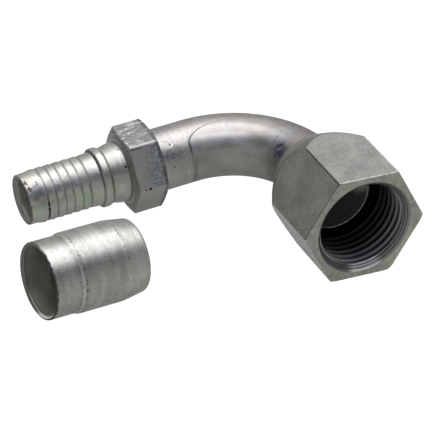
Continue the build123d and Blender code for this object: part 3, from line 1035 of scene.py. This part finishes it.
# Painted reflection: the lower flat is lightened, as the lit table would show in it at a grazing angle.
low_flat_floor_reflection = angle.near(-150.0, 29.0, 1.0) * on_outside
low_flat_floor_reflection = low_flat_floor_reflection * (0.5 + place.noise(1.2, 3.0, 0.7).rise(0.4, 0.55) * 0.5)
base = base.painted(low_flat_floor_reflection * 0.8, (0.95, 0.95, 0.93))
base = base.painted(along.rise(23.2, 21.9) * 0.7, (0.38, 0.375, 0.32))
past_skirt = along - skirt_front + (nut_corner - radius) / skirt_slope
skirt_line = past_skirt.near(0.1, 0.08, 0.14) * on_outside
base = base.painted(skirt_line * 0.45, (0.15, 0.145, 0.13))

# %% [markdown]
# ### The nut's countersink and thread
#
# The countersink is painted bright below, as light, and dark at the lower left, as shade. The
# thread's crests are light and its feet are painted dark as shade; both are painted darker with depth,
# and the chamber behind the thread is painted black as shadow. The radius tells a crest from a foot,
# so the mask follows the helix without knowing how it winds.

# %% The nut: countersink and thread
inside = radius.rise(9.95, 9.8) * along.rise(25.5, 26.0)
cone_foot = nut_front - (countersink_radius - thread_minor_radius)
cone_skin = inside * along.rise(cone_foot - 0.04, cone_foot + 0.06)
# Painted light below and painted shade at the lower left of the countersink.
painted_light_below = angle.near(-83.0, 13.0, 12.0) * (0.6 + clouds * 0.8)
lower_left_shade = angle.near(-150.0, 35.0, 20.0)
cone_colour = lower_left_shade.tint(colour(0.40, 0.41, 0.38), colour(0.20, 0.20, 0.205))
cone_colour = cone_colour.painted(painted_light_below, (0.98, 0.98, 0.96))
thread_mark = radius.near(9.42, 0.05, 0.1).most(radius.near(8.98, 0.07, 0.1))
cone_colour = cone_colour.painted(thread_mark * 0.75, (0.09, 0.09, 0.095))
cone_colour = cone_colour.shaded(radius.rise(9.40, 9.30) * 0.6, (0.62, 0.64, 0.68))
# Painted shade: the thread's feet are dark, and the whole thread darkens with depth.
depth_shade = inside * along.rise(cone_foot + 0.01, 31.5)
thread_foot_shade = radius.rise(9.0, 9.3)
inner_colour = thread_foot_shade.tint(colour(0.42, 0.42, 0.44), colour(0.07, 0.07, 0.075))
base = inside.tint(base, inner_colour.shaded(depth_shade, (0.12, 0.12, 0.13)))
base = cone_skin.tint(base, cone_colour)
# Painted shadow: the chamber behind the thread is black.
base = base.painted(along.rise(29.3, 28.9) * radius.rise(8.0, 8.2) * inside, (0.02, 0.02, 0.02))
rough = 0.46 + clouds * 0.08 - wear * 0.12
bump = grain * 0.07 + fine_grain * 0.02 - seam * 0.05
dress(nut, finish, base, rough, bump, 0.8)

# %% [markdown]
# ### The ferrule's zinc
#
# The ferrule was turned and plated bright: fine lines run round it, under clouds and films as on the
# insert. Its lower side is lighter, because the table shines on it from below.

# %% The ferrule: satin zinc
finish, place, along, side, height, radius, angle = metal("ferrule_zinc_finish")
clouds = place.noise(0.2, 3.0, 0.6)
streaks = place.times((0.9, 0.15, 0.15)).noise(1.0, 3.0, 0.6)
grain = place.noise(3.2, 3.0, 0.7)
turning = place.times((6.0, 0.02, 0.02)).noise(1.0, 2.0, 0.6)
mottle = clouds * 0.3 + streaks * 0.3 + grain * 0.4
base = mottle.rise(0.42, 0.58).tint(colour(0.395, 0.39, 0.375), colour(0.56, 0.555, 0.54))
base = base.shaded(side.rise(3.5, 0.5) * 0.95, (1.25, 1.28, 1.20))
base = base.shaded(turning.rise(0.4, 0.6) * 0.25, (0.80, 0.80, 0.80))
film = place.noise(0.4, 3.0, 0.6)
base = base.shaded(film.rise(0.52, 0.66) * 0.4, (0.90, 0.90, 0.97))
base = base.shaded(film.rise(0.46, 0.36) * 0.5, (1.04, 0.99, 0.93))

# %% [markdown]
# ### The ferrule's step, pits and rim
#
# The step catches light on its slope, and its edge and the taper's are pitted. Lines at a reach give
# both, made ragged by noise. The mouth's rim has rusted brown on the near side.

# %% The ferrule: step, taper and pits
outside = radius.rise(7.05, 7.1)
ragged = (place.noise(1.3, 3.0, 0.65) - 0.5) * 0.8
step_light = (along + ragged * 0.5).near(5.62, 0.12, 0.12) * outside * (0.25 + side.rise(6.0, 4.5) * 0.75)
step_light = step_light * place.noise(1.3, 3.0, 0.7).rise(0.38, 0.50)
step_shade = along.near(5.1, 0.1, 0.25) * outside
step_edge = (along + ragged * 0.6).near(step_end, 0.10, 0.14) * outside
taper_edge = (along + ragged * 0.7).near(taper_start, 0.06, 0.16) * outside
taper_light = along.near(taper_start - 0.35, 0.06, 0.14) * outside
speckle = place.noise(0.95, 3.0, 0.7)
base = base.painted(step_shade * 0.25, (0.20, 0.20, 0.19))
base = base.painted((step_light * 0.7).most(taper_light * 0.15), (0.86, 0.86, 0.82))
edge_marks = (step_edge * speckle.rise(0.51, 0.57)).most(taper_edge * speckle.rise(0.52, 0.58))
near_edges = along.near(5.6, 0.7, 0.8).most(along.near(15.2, 0.5, 1.0)) * outside
loose_pits = place.noise(1.5, 3.0, 0.75).rise(0.63, 0.67) * (0.3 + near_edges * 0.7) * outside
bright_specks = place.noise(1.8, 3.0, 0.75).rise(0.61, 0.66) * (0.3 + near_edges * 0.7) * outside
base = base.painted(bright_specks * 0.5, (0.80, 0.80, 0.78))
base = base.painted((edge_marks * 0.75).most(loose_pits * 0.7), (0.10, 0.085, 0.07))

# %% The ferrule: rim
near_side = height.rise(0.0, 2.5)
rim_line = along.rise(0.45, 0.2) * place.noise(1.2, 3.0, 0.65).rise(0.42, 0.5) * near_side
rim_line = rim_line.most(along.rise(0.25, 0.1) * radius.rise(7.5, 7.4) * near_side)
base = base.painted(rim_line * 0.85, (0.075, 0.05, 0.035))

# %% [markdown]
# ### The ferrule's inside
#
# The wall behind the mouth is painted light, with a painted highlight at the bottom, and past the
# entry's step it is painted dark as shade. As in the bore, painted shade deepens with depth, and the
# lead-in and rim on the far side are painted darker as shade.

# %% The ferrule: inside
inner = radius.rise(7.12, 7.04)
# Painted light and shade: the inside is light near the mouth, brightest at the bottom, and darkens deeper
# in.
inside_light_and_shade = clouds.rise(0.35, 0.65).tint(colour(0.86, 0.84, 0.76), colour(0.97, 0.96, 0.89))
inside_light_and_shade = inside_light_and_shade.shaded(along.rise(3.0, 10.0) * 0.7, (0.5, 0.5, 0.5))
inside_light_and_shade = inside_light_and_shade.painted(side.rise(-4.5, -6.2) * along.rise(7.0, 2.0), (0.98, 0.98, 0.95))
past_step_shade = along.rise(5.3, 5.42) * along.rise(19.6, 19.0)
inside_light_and_shade = inside_light_and_shade.painted(past_step_shade * 0.85, (0.16, 0.16, 0.145))
base = inner.tint(base, inside_light_and_shade)
# Painted shade: the lead-in and rim on the far side are darkened.
base = base.painted(along.rise(1.1, 0.7) * inner * height.rise(2.0, 0.0) * 0.5, (0.42, 0.42, 0.39))
far_rim_shade = along.rise(0.40, 0.34) * height.rise(1.0, -1.0)
base = base.painted(far_rim_shade * 0.9, (0.19, 0.19, 0.175))
rough = 0.33 + clouds * 0.12 + rim_line * 0.3
bump = grain * 0.012 + turning * 0.008 + streaks * 0.02 - edge_marks * 0.04 - loose_pits * 0.04
dress(ferrule, finish, base, rough, bump, 0.7)

# %% [markdown]
# ## Measure and finish
#
# The box round the dressed model should be the box round the solids: both boxes are printed.

# %% Sizes of the solids and of the dressed model
shown_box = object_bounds()
for low_or_high, cad_corner, shown_corner in zip(("low", "high"), cad_box, shown_box):
    print(low_or_high, [round(c / mm, 3) for c in cad_corner], [round(c / mm, 3) for c in shown_corner])
